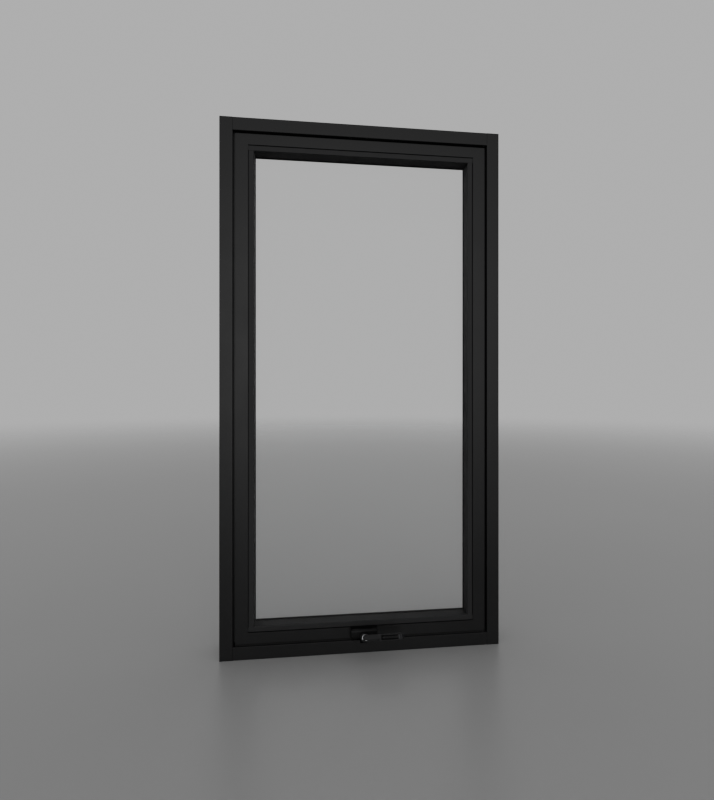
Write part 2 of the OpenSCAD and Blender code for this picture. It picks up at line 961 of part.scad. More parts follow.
// The operator's casting: a base plate, a post with the nose tube and a bearing for the worm's tail.
module operator_housing() {
    well_half = worm_r + thread_h + 1.2;
    color(zinc)
        difference() {
            union() {
                difference() {
                    block(base_x0, base_x1, base_v0, base_v1, wall_w, base_high);
                    block(-well_half, well_half, worm_v - 7.5, worm_v + 7, 0, base_high + cut);
                }
                block(post_x0, post_x1, base_v0, post_v1, wall_w, gear_z + 4);
                block(-tail_bearing_half, tail_bearing_half, worm_v + 7, worm_v + 11.4, tail_low, gear_z);
                on_shaft()
                    translate([0, 0, nose_start])
                        cylinder(h = nose_end - nose_start, r = nose_r);
            }
            on_shaft(nose_start - cut)
                cylinder(h = nose_end - nose_start + 2 * cut, r = bush_r);
            on_shaft(0)
                cylinder(h = nose_start, r = worm_bore_r + 1);
            on_shaft(tail_s - 8)
                cylinder(h = 16, r = worm_bore_r);
            translate([gear_x, face_y + worm_v, wall_w - cut])
                cylinder(h = base_t + 2 * cut, r = arm_pin_r + seat);
            for (p = operator_screw_at)
                translate([p[0], face_y + p[1], wall_w - cut])
                    cylinder(h = base_t + 2 * cut, r = screw_r);
        }
}

module operator_screws() {
    color(steel)
        for (p = operator_screw_at)
            translate([p[0], face_y + p[1], base_high])
                screw(base_t + 6.5, head_h = 1.1);
}

module shaft_bushes() {
    color(bronze)
        on_shaft()
            for (s = [nose_start, nose_end - bush_l])
                tube(bush_r - seat, shaft_r + run_fit, s, s + bush_l);
}

cover_back = sash_recess - 0.6;
cover_skin = 2;
cover_chamfer = 5;
cover_crown = 1.6;
cover_crown_share = 0.6;
cover_foot_share = 0.35;
cover_high = cover_z + cover_h;
half_cover = cover_w / 2;
cover_slope = 6;

// Side outline of the cover: depth in front of the frame's face, then height.
module cover_outline(inset) {
    shoulder = cover_crown + cover_crown_share * inset;
    polygon([[-cover_back, cover_z + inset], [cover_proud * cover_foot_share, cover_z + inset],
        [cover_proud - inset, cover_z + cover_slope + inset / 2],
        [cover_proud - inset, cover_high - cover_chamfer],
        [cover_proud - shoulder, cover_high - shoulder],
        [cover_proud - cover_chamfer, cover_high - inset],
        [-cover_back, cover_high - inset]]);
}

module cover_solid(inset) {
    intersection() {
        translate([-cover_w / 2 + inset, 0, 0])
            rotate([90, 0, 90])
                linear_extrude(height = cover_w - 2 * inset)
                    mirror([1, 0])
                        translate([-face_y, 0])
                            cover_outline(inset);
        translate([0, face_y, 0])
            linear_extrude(height = cover_high + 10)
                polygon([[inset - half_cover, cover_back + cut],
                    [inset - half_cover, cover_chamfer - cover_proud],
                    [cover_chamfer - half_cover, inset - cover_proud],
                    [half_cover - cover_chamfer, inset - cover_proud],
                    [half_cover - inset, cover_chamfer - cover_proud],
                    [half_cover - inset, cover_back + cut]]);
    }
}

// A moulded cover slides over the nose and hides the notch in the sash.
module operator_cover() {
    color(black_plastic)
        difference() {
            union() {
                difference() {
                    cover_solid(0);
                    translate([0, 1, 0])
                        cover_solid(cover_skin);
                }
                intersection() {
                    cover_solid(0);
                    on_shaft(nose_end - 26)
                        cylinder(h = 40, r = nut_r);
                }
                on_shaft(nut_s - nut_r)
                    cylinder(h = nut_r, r = nut_r);
            }
            on_shaft(0)
                cylinder(h = hub_s, r = nose_r + seat);
        }
}

// The nut on the nose holds the cover.
module nose_nut() {
    color(black_plastic)
        on_shaft()
            difference() {
                tube(nut_r, nose_r + seat, nut_s, nut_s + nut_t);
                for (a = [0 : 60 : 300])
                    rotate([0, 0, a])
                        translate([nut_r, 0, nut_s - cut])
                            cylinder(h = nut_t + 2 * cut, r = 1);
            }
}

pin_head_r = 5;
pin_head_t = 1.1;

module arm_pivot_pin() {
    color(steel)
        translate([gear_x, face_y + worm_v, 0]) {
            translate([0, 0, wall_w - skin_t + 0.5])
                cylinder(h = arm_high + joint_fit - wall_w + skin_t - 0.5, r = arm_pin_r);
            translate([0, 0, arm_high + joint_fit])
                cylinder(h = pin_head_t, r = pin_head_r);
        }
}

// The teeth mesh with the worm over the arm's whole swing, with a spare tooth at each end.
swing_teeth = ceil(2 * open_angle / (360 / gear_teeth));
tooth_step = 360 / gear_teeth;
tooth_root_half = 0.21 * tooth_step;
tooth_tip_half = 0.1 * tooth_step;
gear_root_r = gear_tip_r - tooth_h;

module tooth(a) {
    polygon([for (p = [[gear_root_r - 0.4, -tooth_root_half], [gear_root_r, -tooth_root_half],
        [gear_tip_r, -tooth_tip_half], [gear_tip_r, tooth_tip_half], [gear_root_r, tooth_root_half],
        [gear_root_r - 0.4, tooth_root_half]]) p[0] * [cos(a + p[1]), sin(a + p[1])]]);
}

// The sector gear: its teeth, its web and a hub that carries the arm above the worm.
module sector_gear() {
    low_angle = -(swing_teeth + 1) * tooth_step;
    color(steel)
        translate([gear_x, face_y + worm_v, 0])
            difference() {
                union() {
                    translate([0, 0, gear_low])
                        linear_extrude(height = gear_t) {
                            intersection() {
                                circle(r = gear_root_r);
                                polygon(concat([[0, 0]], [for (a = [low_angle : tooth_step : tooth_step])
                                    2 * gear_tip_r * [cos(a), sin(a)]]));
                            }
                            for (i = [-swing_teeth - 1 : 0])
                                tooth((i + 0.5) * tooth_step);
                        }
                    translate([0, 0, gear_low])
                        cylinder(h = arm_z - gear_low, r = arm_hub_r);
                }
                translate([0, 0, gear_low - cut])
                    cylinder(h = arm_high, r = arm_pin_r + run_fit);
                arm_rivet_places()
                    cylinder(h = arm_high, r = rivet_r);
            }
}

module arm_rivet_places() {
    for (a = [90, 270])
        rotate([0, 0, a])
            translate([(arm_pin_r + arm_hub_r) / 2 + 0.1, 0, 0])
                children();
}

roller_pin_r = 2;

// The arm, drawn from its pivot to the roller's pin.
module operator_arm() {
    color(zinc)
        translate([gear_x, face_y + worm_v, arm_z])
            rotate([0, 0, arm_rest])
                difference() {
                    union() {
                        cylinder(h = arm_t, r = arm_hub_r);
                        translate([0, -arm_w / 2, 0])
                            cube([arm_l, arm_w, arm_t]);
                        translate([arm_l, 0, 0])
                            cylinder(h = arm_t, r = arm_w / 2);
                    }
                    translate([0, 0, -cut])
                        cylinder(h = arm_t + 2 * cut, r = arm_pin_r + run_fit);
                    translate([arm_l, 0, -cut])
                        cylinder(h = arm_t + 2 * cut, r = roller_pin_r + seat);
                    rotate([0, 0, -arm_rest])
                        translate([0, 0, -cut])
                            arm_rivet_places()
                                cylinder(h = arm_t + 2 * cut, r = rivet_r);
                }
}

// Rivets join the arm to the gear's hub.
module arm_rivets() {
    color(steel)
        translate([gear_x, face_y + worm_v, 0])
            arm_rivet_places()
                translate([0, 0, gear_high + 1])
                    cylinder(h = arm_high - gear_high - 1, r = rivet_r - seat);
}

module roller_pin() {
    color(steel)
        translate([roller_x, face_y + hinge_v, arm_z - 0.6]) {
            cylinder(h = roller_low + roller_h + 0.2 - arm_z + 0.6, r = roller_pin_r);
            cylinder(h = 0.6, r = roller_pin_r + 1);
        }
}

module arm_roller() {
    color(black_plastic)
        translate([roller_x, face_y + hinge_v, 0])
            tube(roller_r, roller_pin_r + run_fit, roller_low, roller_low + roller_h);
}

// ---- crank ----

// The shaft, from the tail in its bearing to the end in the hub.
module crank_shaft() {
    color(steel)
        on_shaft() {
            translate([0, 0, tail_s])
                cylinder(h = shaft_low - tail_s, r = tail_r);
            translate([0, 0, shaft_low])
                cylinder(h = shaft_end - shaft_low, r = shaft_r);
        }
}

// A single thread, drawn as a round bar whose centre winds round the shaft.
module worm() {
    turns = worm_l / worm_pitch;
    color(bronze)
        on_shaft(-worm_l / 2)
            difference() {
                rotate([0, 0, 180 + 180 * turns])
                    linear_extrude(height = worm_l, twist = 360 * turns, slices = ceil(20 * turns),
                        $fn = 28)
                        translate([thread_h, 0])
                            circle(r = worm_r);
                translate([0, 0, -cut])
                    cylinder(h = worm_l + 2 * cut, r = tail_r);
            }
}

module retaining_ring() {
    color(steel)
        on_shaft()
            tube(shaft_r + 2, shaft_r + seat, nose_end + joint_fit, nose_end + joint_fit + ring_t);
}

crank_low = hub_s - crank_t / 2;
nest_depth = 7.4;
nest_start = crank_l - knob_l - 9;
nest_high = crank_t - nest_depth;
block_len = 7;
knob_z = crank_low + nest_high + joint_fit + knob_r;
fold_pin_r = 1.5;
fork_gap = 2 * (knob_r + joint_fit);

// The crank arm: a hub on the shaft and a bar that ends in a fork for the folding knob.
module crank_arm() {
    color(black_coat)
        on_shaft(crank_low)
            difference() {
                union() {
                    cylinder(h = crank_t, r = hub_r);
                    translate([0, -crank_w / 2, 0])
                        cube([crank_l, crank_w, crank_t]);
                    translate([crank_l, 0, 0])
                        cylinder(h = crank_t, r = crank_w / 2);
                }
                translate([0, 0, -cut])
                    cylinder(h = crank_t - 2 + cut, r = shaft_r + seat);
                translate([nest_start, -fork_gap / 2, nest_high])
                    cube([crank_l + crank_w - nest_start, fork_gap, crank_t]);
                translate([crank_l, crank_w, knob_z - crank_low])
                    rotate([90, 0, 0])
                        cylinder(h = 2 * crank_w, r = fold_pin_r + seat);
                translate([0, 0, crank_t / 2 - 1])
                    rotate([0, -90, 0])
                        cylinder(h = crank_w, r = 1.5);
            }
}

module hub_screw() {
    color(steel)
        on_shaft(crank_low + crank_t / 2 - 1)
            rotate([0, -90, 0])
                translate([0, 0, shaft_r + seat])
                    cylinder(h = hub_r - shaft_r - 0.4, r = 1.5 - seat);
}

module fold_pin() {
    color(steel)
        on_shaft(knob_z)
            translate([crank_l, crank_w / 2 - 0.6, 0])
                rotate([90, 0, 0])
                    cylinder(h = crank_w - 1.2, r = fold_pin_r);
}

// The block turns on the folding pin and carries the spindle that the knob spins on.
module knob_block() {
    spindle_r = 1.8;
    color(steel)
        on_shaft(knob_z)
            difference() {
                union() {
                    intersection() {
                        translate([crank_l - block_len, -fork_gap / 2 + joint_fit, -knob_r])
                            cube([block_len + knob_r, fork_gap - 2 * joint_fit, 2 * knob_r]);
                        union() {
                            translate([crank_l, crank_w, 0])
                                rotate([90, 0, 0])
                                    cylinder(h = 2 * crank_w, r = knob_r);
                            translate([crank_l - block_len, -crank_w, -knob_r + 1.2])
                                cube([block_len, 2 * crank_w, 2 * knob_r - 2.4]);
                        }
                    }
                    translate([crank_l - block_len + 0.5, 0, 0])
                        rotate([0, -90, 0])
                            cylinder(h = knob_l - 3, r = spindle_r);
                }
                translate([crank_l, crank_w, 0])
                    rotate([90, 0, 0])
                        cylinder(h = 2 * crank_w, r = fold_pin_r + run_fit);
            }
}

// The knob, closed at its far end.
module crank_knob() {
    color(black_plastic)
        on_shaft(knob_z)
            translate([crank_l - block_len - joint_fit, 0, 0])
                rotate([0, -90, 0])
                    difference() {
                        rotate_extrude()
                            polygon([[0, 0], [knob_r - 0.8, 0], [knob_r, 1], [knob_r, knob_l - 2.4],
                                [knob_r - 0.7, knob_l - 0.7], [knob_r - 2.4, knob_l], [0, knob_l]]);
                        translate([0, 0, -cut])
                            cylinder(h = knob_l - 2, r = 1.8 + run_fit);
                    }
}

frame_head();
frame_sill();
frame_jamb_hinge();
frame_jamb_lock();
frame_corner_screws();
frame_seal();
sill_seal();
weep_covers();
sash_rail_top();
sash_rail_bottom();
sash_stile_hinge();
sash_stile_lock();
sash_corner_screws();
bead_top();
bead_bottom();
bead_hinge_side();
bead_lock_side();
glass_inner();
glass_outer();
spacer_bar();
edge_seal();
wedge_gasket();
glazing_tape();
setting_blocks();
frame_pivot_bottom();
frame_pivot_top();
pivot_bushes();
frame_pivot_screws();
sash_pivot_bottom();
sash_pivot_top();
hinge_pin_bottom();
hinge_pin_top();
sash_pivot_screws();
operator_track();
track_screws();
operator_housing();
operator_screws();
shaft_bushes();
operator_cover();
nose_nut();
arm_pivot_pin();
sector_gear();
operator_arm();
arm_rivets();
roller_pin();
arm_roller();
crank_shaft();
worm();
retaining_ring();
crank_arm();
hub_screw();
fold_pin();
knob_block();
crank_knob();
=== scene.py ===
"""A casement window with a crank operator: its finishes, its moulded crank pieces and its stage."""
import json
import math

import bpy
from bpy.props import FloatProperty, FloatVectorProperty, PointerProperty
from bpy.types import Operator, Panel, PropertyGroup
from mathutils import Matrix, Vector


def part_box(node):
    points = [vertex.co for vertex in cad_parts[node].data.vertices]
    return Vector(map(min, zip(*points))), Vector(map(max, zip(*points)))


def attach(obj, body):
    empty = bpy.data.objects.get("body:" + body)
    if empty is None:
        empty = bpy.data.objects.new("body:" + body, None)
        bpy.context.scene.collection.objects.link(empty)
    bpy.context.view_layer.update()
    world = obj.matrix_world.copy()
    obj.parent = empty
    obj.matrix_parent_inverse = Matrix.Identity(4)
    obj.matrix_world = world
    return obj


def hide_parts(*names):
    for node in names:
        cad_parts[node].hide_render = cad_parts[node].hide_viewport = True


bl_info = {
    "name": "Crank Casement Window",
    "version": (1, 0, 0),
    "blender": (4, 5, 0),
    "location": "View3D > Sidebar > Window",
    "description": "Finishes and moulded pieces of a side-hung window with a crank",
    "category": "Object",
}

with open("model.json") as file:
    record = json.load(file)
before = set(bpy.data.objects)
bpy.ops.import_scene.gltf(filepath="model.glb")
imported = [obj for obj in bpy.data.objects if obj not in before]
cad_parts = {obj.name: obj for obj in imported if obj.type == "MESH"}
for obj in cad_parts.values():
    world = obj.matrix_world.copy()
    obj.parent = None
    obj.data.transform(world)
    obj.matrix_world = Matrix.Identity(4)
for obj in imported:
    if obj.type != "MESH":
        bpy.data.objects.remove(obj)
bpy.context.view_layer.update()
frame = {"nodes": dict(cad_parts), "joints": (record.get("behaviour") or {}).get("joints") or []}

COATED = ("frame_head", "frame_sill", "frame_jamb_hinge", "frame_jamb_lock", "sash_rail_top",
          "sash_rail_bottom", "sash_stile_hinge", "sash_stile_lock")
BEADS = ("bead_top", "bead_bottom", "bead_hinge_side", "bead_lock_side")
RUBBER = ("frame_seal", "sill_seal", "edge_seal", "wedge_gasket", "glazing_tape", "setting_blocks")
PLASTIC = ("weep_covers", "spacer_bar", "nose_nut", "arm_roller")
CASTINGS = ("frame_pivot_bottom", "frame_pivot_top", "sash_pivot_bottom", "sash_pivot_top",
            "operator_track", "operator_arm")
STEEL = ("frame_corner_screws", "sash_corner_screws", "frame_pivot_screws", "sash_pivot_screws",
         "track_screws", "operator_screws", "hinge_pin_bottom", "hinge_pin_top", "arm_pivot_pin",
         "sector_gear", "arm_rivets", "roller_pin", "crank_shaft", "retaining_ring")
BLACK_CAST = ("operator_housing",)
BLACKENED = ("hub_screw", "fold_pin", "knob_block")
BRONZE = ("pivot_bushes", "shaft_bushes", "worm")
PANES = ("glass_inner", "glass_outer")

# Points nearer than this are one point.
SAME = 0.000002
# An edge or face this near to a plane lies in it.
NEAR = 0.00001


# ---- properties ----

class WindowSizes(PropertyGroup):
    profile_edge: FloatProperty(
        name="Profile edge", description="Rounding of the extruded profiles' edges",
        default=0.0003, min=0.0001, max=0.002, unit="LENGTH")
    hardware_edge: FloatProperty(
        name="Hardware edge", description="Rounding of the cast and turned pieces' edges",
        default=0.0003, min=0.0001, max=0.001, unit="LENGTH")
    crank_edge: FloatProperty(
        name="Crank edge", description="Rounding of the crank arm's edges",
        default=0.0012, min=0.0005, max=0.003, unit="LENGTH")
    cover_low: FloatProperty(
        name="Cover height", description="Height of the cover's lower edge above the sill's underside",
        default=0.0365, min=0.03, max=0.05, unit="LENGTH")
    cover_height: FloatProperty(
        name="Cover size", description="Height of the cover itself",
        default=0.021, min=0.015, max=0.03, unit="LENGTH")
    cover_proud: FloatProperty(
        name="Cover reach", description="How far the cover stands in front of the frame",
        default=0.011, min=0.006, max=0.02, unit="LENGTH")
    cover_wall: FloatProperty(
        name="Cover wall", description="Wall of the moulded cover",
        default=0.002, min=0.001, max=0.003, unit="LENGTH")


class WindowFinishes(PropertyGroup):
    coat: FloatVectorProperty(
        name="Coat", description="Satin powder coat of the profiles",
        default=(0.0048, 0.0048, 0.0050), size=3, subtype="COLOR", min=0, max=1)
    bead: FloatVectorProperty(
        name="Bead coat", description="Matt powder coat of the glazing beads",
        default=(0.0135, 0.0135, 0.0139), size=3, subtype="COLOR", min=0, max=1)
    plastic: FloatVectorProperty(
        name="Plastic", description="Moulded black plastic",
        default=(0.0030, 0.0030, 0.0032), size=3, subtype="COLOR", min=0, max=1)
    rubber: FloatVectorProperty(
        name="Rubber", description="Seals and gaskets",
        default=(0.0040, 0.0040, 0.0040), size=3, subtype="COLOR", min=0, max=1)
    casting: FloatVectorProperty(
        name="Casting", description="Grey zinc castings inside the window",
        default=(0.075, 0.076, 0.080), size=3, subtype="COLOR", min=0, max=1)
    steel: FloatVectorProperty(
        name="Steel", description="Plated steel",
        default=(0.42, 0.42, 0.43), size=3, subtype="COLOR", min=0, max=1)
    blackened: FloatVectorProperty(
        name="Blackened steel", description="The crank's screw, fold pin and knob block",
        default=(0.020, 0.020, 0.021), size=3, subtype="COLOR", min=0, max=1)
    bronze: FloatVectorProperty(
        name="Bronze", description="Bushes and worm",
        default=(0.36, 0.22, 0.09), size=3, subtype="COLOR", min=0, max=1)
    floor: FloatVectorProperty(
        name="Floor", description="Pale studio floor",
        default=(0.28, 0.28, 0.28), size=3, subtype="COLOR", min=0, max=1)


# ---- materials ----

def new_material(name, color):
    """Makes a material on Object coordinates and returns it with its nodes."""
    material = bpy.data.materials.new(name)
    material.use_nodes = True
    material.diffuse_color = (*color, 1)
    tree = material.node_tree
    shader = tree.nodes["Principled BSDF"]
    place = tree.nodes.new("ShaderNodeTexCoord")
    return material, tree, shader, place


def noise(tree, place, scale, detail=3.0, roughness=0.5):
    """Adds a noise texture in the object's own coordinates."""
    texture = tree.nodes.new("ShaderNodeTexNoise")
    texture.inputs["Scale"].default_value = scale
    texture.inputs["Detail"].default_value = detail
    texture.inputs["Roughness"].default_value = roughness
    tree.links.new(place.outputs["Object"], texture.inputs["Vector"])
    return texture


def stretched_noise(tree, place, stretch, scale):
    """Adds a noise texture that is drawn out along the axes where stretch is small."""
    mapping = tree.nodes.new("ShaderNodeMapping")
    mapping.inputs["Scale"].default_value = stretch
    tree.links.new(place.outputs["Object"], mapping.inputs["Vector"])
    texture = noise(tree, place, scale)
    tree.links.new(mapping.outputs["Vector"], texture.inputs["Vector"])
    return texture


def remap(tree, source, low, high, start=0.3, end=0.7):
    """Maps a texture's value to a range."""
    node = tree.nodes.new("ShaderNodeMapRange")
    node.inputs["From Min"].default_value = start
    node.inputs["From Max"].default_value = end
    node.inputs["To Min"].default_value = low
    node.inputs["To Max"].default_value = high
    tree.links.new(source, node.inputs["Value"])
    return node.outputs["Result"]


def tint(tree, source, dark, light):
    """Turns a value into a colour between dark and light."""
    ramp = tree.nodes.new("ShaderNodeValToRGB")
    ramp.color_ramp.elements[0].position = 0.3
    ramp.color_ramp.elements[0].color = (*dark, 1)
    ramp.color_ramp.elements[1].position = 0.7
    ramp.color_ramp.elements[1].color = (*light, 1)
    tree.links.new(source, ramp.inputs["Fac"])
    return ramp.outputs["Color"]


def scaled(color, factor):
    return tuple(min(1.0, part * factor) for part in color)


def add_bump(tree, shader, source, strength, distance):
    bump = tree.nodes.new("ShaderNodeBump")
    bump.inputs["Strength"].default_value = strength
    bump.inputs["Distance"].default_value = distance
    tree.links.new(source, bump.inputs["Height"])
    tree.links.new(bump.outputs["Normal"], shader.inputs["Normal"])
    return bump


def powder_coat(name, color, grain=2600.0, rough=0.42, gloss=0.30):
    """Satin powder coat: a fine orange peel, faint clouds and a slightly uneven gloss."""
    material, tree, shader, place = new_material(name, color)
    clouds = noise(tree, place, 9.0, 4.0, 0.55)
    peel = noise(tree, place, grain, 2.0, 0.6)
    tree.links.new(tint(tree, clouds.outputs["Fac"], scaled(color, 0.88), scaled(color, 1.12)),
                   shader.inputs["Base Color"])
    tree.links.new(remap(tree, clouds.outputs["Fac"], rough, rough + 0.07), shader.inputs["Roughness"])
    add_bump(tree, shader, peel.outputs["Fac"], 0.10, 0.0002)
    shader.inputs["Specular IOR Level"].default_value = gloss
    return material


def moulded_plastic(name, color):
    """Fine spark-eroded plastic, a little glossier where hands touch it."""
    material, tree, shader, place = new_material(name, color)
    grain = noise(tree, place, 3800.0, 2.0, 0.6)
    wear = noise(tree, place, 60.0, 3.0, 0.5)
    tree.links.new(tint(tree, wear.outputs["Fac"], scaled(color, 0.85), scaled(color, 1.2)),
                   shader.inputs["Base Color"])
    tree.links.new(remap(tree, wear.outputs["Fac"], 0.48, 0.60), shader.inputs["Roughness"])
    add_bump(tree, shader, grain.outputs["Fac"], 0.14, 0.00015)
    shader.inputs["Specular IOR Level"].default_value = 0.18
    return material


def rubber(name, color):
    """Matt extruded rubber with faint lines along its length."""
    material, tree, shader, place = new_material(name, color)
    lines = noise(tree, place, 700.0, 2.0, 0.5)
    tree.links.new(tint(tree, lines.outputs["Fac"], scaled(color, 0.7), scaled(color, 1.3)),
                   shader.inputs["Base Color"])
    tree.links.new(remap(tree, lines.outputs["Fac"], 0.72, 0.86), shader.inputs["Roughness"])
    add_bump(tree, shader, lines.outputs["Fac"], 0.2, 0.0002)
    shader.inputs["Specular IOR Level"].default_value = 0.25
    return material


def metal(name, color, rough, stretch):
    """Bare or plated metal with drawn lines and small stains."""
    material, tree, shader, place = new_material(name, color)
    drawn = stretched_noise(tree, place, stretch, 420.0)
    stains = noise(tree, place, 90.0, 4.0, 0.6)
    tree.links.new(tint(tree, stains.outputs["Fac"], scaled(color, 0.8), scaled(color, 1.1)),
                   shader.inputs["Base Color"])
    tree.links.new(remap(tree, drawn.outputs["Fac"], rough - 0.08, rough + 0.1),
                   shader.inputs["Roughness"])
    add_bump(tree, shader, drawn.outputs["Fac"], 0.12, 0.0001)
    shader.inputs["Metallic"].default_value = 1.0
    return material


def clear_glass(name):
    """Float glass: nearly all see-through, with a faint sheen and a faint painted haze."""
    material, tree, shader, place = new_material(name, (0.86, 0.9, 0.9))
    painted_haze_noise = noise(tree, place, 3.0, 3.0, 0.5)
    # The pale grey base colour, seen at 2 % alpha, paints a faint haze of light over the opening and is
    # not a colour of the glass; the noise only makes that painted haze uneven.
    tree.links.new(tint(tree, painted_haze_noise.outputs["Fac"], (0.40, 0.43, 0.43), (0.44, 0.47, 0.47)),
                   shader.inputs["Base Color"])
    tree.links.new(remap(tree, painted_haze_noise.outputs["Fac"], 0.01, 0.03), shader.inputs["Roughness"])
    shader.inputs["Alpha"].default_value = 0.02
    shader.inputs["Specular IOR Level"].default_value = 0.3
    shader.inputs["IOR"].default_value = 1.5
    return material


def finish_node(name, material):
    """Gives a CAD node its material in every slot."""
    node = frame["nodes"][name]
    node.data.materials.clear()
    node.data.materials.append(material)


def ease_edges(name, width):
    """Rounds a CAD node's edges with live modifiers, which leave its own mesh alone."""
    node = frame["nodes"][name]
    weld = node.modifiers.new("Join corners", "WELD")
    weld.merge_threshold = SAME
    ease = node.modifiers.new("Eased edges", "BEVEL")
    ease.width = width
    ease.segments = 2
    ease.limit_method = "ANGLE"
    ease.angle_limit = math.radians(35)
    ease.use_clamp_overlap = True
    ease.harden_normals = False


# ---- modelling helpers ----

def clear_selection():
    if bpy.context.object and bpy.context.object.mode != "OBJECT":
        bpy.ops.object.mode_set(mode="OBJECT")
    bpy.ops.object.select_all(action="DESELECT")


def make_active(piece):
    clear_selection()
    piece.select_set(True)
    bpy.context.view_layer.objects.active = piece


def add_box(name, low, high):
    """Adds a box between two corners, its place in its mesh."""
    clear_selection()
    low, high = Vector(low), Vector(high)
    bpy.ops.mesh.primitive_cube_add(size=1, location=(low + high) / 2)
    box = bpy.context.object
    box.name = name
    box.scale = high - low
    bpy.ops.object.transform_apply(location=True, rotation=True, scale=True)
    return box


def add_cylinder(name, radius, start, end, sides=48):
    """Adds a closed cylinder along Z at X = Y = 0."""
    clear_selection()
    bpy.ops.mesh.primitive_cylinder_add(vertices=sides, radius=radius, depth=end - start,
                                        location=(0, 0, (start + end) / 2))
    cylinder = bpy.context.object
    cylinder.name = name
    bpy.ops.object.transform_apply(location=True, rotation=True, scale=True)
    return cylinder


def place(piece, matrix):
    """Moves a piece by a matrix and writes its place into its mesh."""
    make_active(piece)
    piece.matrix_world = matrix @ piece.matrix_world
    bpy.ops.object.transform_apply(location=True, rotation=True, scale=True)


def combine(piece, other, operation):
    """Joins another closed shape to a piece or cuts it out, and deletes it."""
    make_active(piece)
    boolean = piece.modifiers.new("Combine", "BOOLEAN")
    boolean.operation = operation
    boolean.solver = "EXACT"
    boolean.object = other
    bpy.ops.object.modifier_apply(modifier=boolean.name)
    bpy.data.objects.remove(other, do_unlink=True)


def bevel_edges(piece, wanted, width, segments):
    """Bevels the edges that wanted(start, end) picks."""
    make_active(piece)
    mesh = piece.data
    bpy.ops.object.mode_set(mode="EDIT")
    bpy.ops.mesh.select_all(action="DESELECT")
    bpy.ops.mesh.select_mode(type="EDGE")
    bpy.ops.object.mode_set(mode="OBJECT")
    for edge in mesh.edges:
        edge.select = wanted(*(mesh.vertices[i].co for i in edge.vertices))
    bpy.ops.object.mode_set(mode="EDIT")
    bpy.ops.mesh.bevel(offset=width, segments=segments, profile=0.5, affect="EDGES", clamp_overlap=True)
    bpy.ops.object.mode_set(mode="OBJECT")


def round_off(piece, width, segments=3, angle=35):
    """Rounds all sharp edges and smooths the shading between them."""
    make_active(piece)
    ease = piece.modifiers.new("Round", "BEVEL")
    ease.width = width
    ease.segments = segments
    ease.limit_method = "ANGLE"
    ease.angle_limit = math.radians(angle)
    bpy.ops.object.modifier_apply(modifier=ease.name)
    bpy.ops.object.mode_set(mode="EDIT")
    bpy.ops.mesh.select_all(action="SELECT")
    bpy.ops.mesh.remove_doubles(threshold=SAME)
    bpy.ops.mesh.normals_make_consistent(inside=False)
    bpy.ops.object.mode_set(mode="OBJECT")
    bpy.ops.object.shade_smooth_by_angle(angle=math.radians(30))


def joint(name):
    return next(j for j in frame["joints"] if j["name"] == name)


def shaft_matrix():
    """The crank's own axes: +Z out of the hub towards the room, +X along the arm, at the hub's middle."""
    turn = joint("crank_turn")
    outwards = -Vector(turn["axis"]).normalized()
    across = Vector((1, 0, 0))
    upwards = outwards.cross(across)
    axes = Matrix((across, upwards, outwards)).transposed().to_4x4()
    return Matrix.Translation(Vector(turn["pos_m"])) @ axes


def arm_sizes():
    """Length, width and thickness of the crank arm, from its box and the shaft's slope."""
    low, high = (Vector(corner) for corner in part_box("crank_arm"))
    out = -Vector(joint("crank_turn")["axis"]).normalized()
    width = -2 * low.x
    thickness = ((high.y - low.y) - width * abs(out.z)) / abs(out.y)
    return high.x - low.x, width, thickness


# ---- operators ----

class WINDOW_OT_profiles(Operator):
    """Coat the frame, the sash and the glazing beads, and ease their edges"""
    bl_idname = "window.profiles"
    bl_label = "Profiles"

    def execute(self, context):
        scene = context.scene
        coat = powder_coat("satin_black_coat", scene.window_finishes.coat)
        bead_coat = powder_coat("matt_bead_coat", scene.window_finishes.bead, rough=0.66)
        for names, material in ((COATED, coat), (BEADS, bead_coat)):
            for name in names:
                finish_node(name, material)
                ease_edges(name, scene.window_sizes.profile_edge)
        return {"FINISHED"}


class WINDOW_OT_seals(Operator):
    """Give the seals, gaskets and setting blocks their rubber"""
    bl_idname = "window.seals"
    bl_label = "Seals"

    def execute(self, context):
        black = rubber("black_rubber", context.scene.window_finishes.rubber)
        for name in RUBBER:
            finish_node(name, black)
        return {"FINISHED"}


class WINDOW_OT_glass(Operator):
    """Make the two panes clear"""
    bl_idname = "window.glass"
    bl_label = "Glass"

    def execute(self, context):
        clear = clear_glass("clear_float_glass")
        for name in PANES:
            finish_node(name, clear)
        return {"FINISHED"}


class WINDOW_OT_hardware(Operator):
    """Finish the castings, the steel, the bronze and the small plastic pieces"""
    bl_idname = "window.hardware"
    bl_label = "Hardware"

    def execute(self, context):
        scene = context.scene
        finishes = scene.window_finishes
        sets = (
            (CASTINGS, metal("grey_zinc", finishes.casting, 0.45, (1.0, 6.0, 6.0))),
            (STEEL, metal("plated_steel", finishes.steel, 0.3, (6.0, 6.0, 1.0))),
            (BRONZE, metal("sintered_bronze", finishes.bronze, 0.4, (1.0, 1.0, 1.0))),
            (BLACK_CAST, powder_coat("black_casting", finishes.plastic, rough=0.55, gloss=0.22)),
            (BLACKENED, metal("blackened_steel", finishes.blackened, 0.42, (6.0, 6.0, 1.0))),
            (PLASTIC, moulded_plastic("small_mouldings", finishes.plastic)),
        )
        for names, material in sets:
            for name in names:
                finish_node(name, material)
        for name in CASTINGS + BLACK_CAST + ("nose_nut", "weep_covers"):
            ease_edges(name, scene.window_sizes.hardware_edge)
        return {"FINISHED"}


